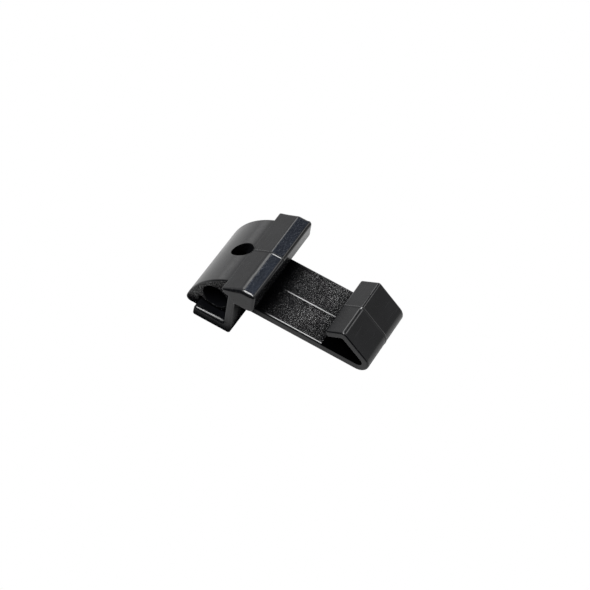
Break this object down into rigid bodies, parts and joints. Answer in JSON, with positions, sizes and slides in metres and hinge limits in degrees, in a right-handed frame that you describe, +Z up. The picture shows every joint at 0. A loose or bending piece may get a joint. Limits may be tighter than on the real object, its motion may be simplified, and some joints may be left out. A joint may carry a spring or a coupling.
{
  "type": "cleat horn fitting",
  "caption": "Moulded plastic fitting with a line tube under a domed nose, a T-shaped horn rail, and a flat plate that ends in a snap-over hook.",
  "frame": {"origin": "centre of the line bore, on the mould's mid-plane", "axes": "+X from the bore towards the hook, +Y along the bore, +Z up, square to the plate"},
  "size_m": [0.0668, 0.0384, 0.0256],
  "materials": {
    "satin_black": "satin moulded black, with a fine moulded grain",
    "grained_black": "coarse spark-eroded grain on the plate's top"
  },
  "bodies": {
    "root": {"line_tube": "satin_black", "nose_fairing": "satin_black", "web": "satin_black", "foot": "satin_black", "horn_rail": "satin_black", "base_plate": "grained_black", "hook_wall": "satin_black", "hook_lip": "satin_black"}
  },
  "joints": []
}
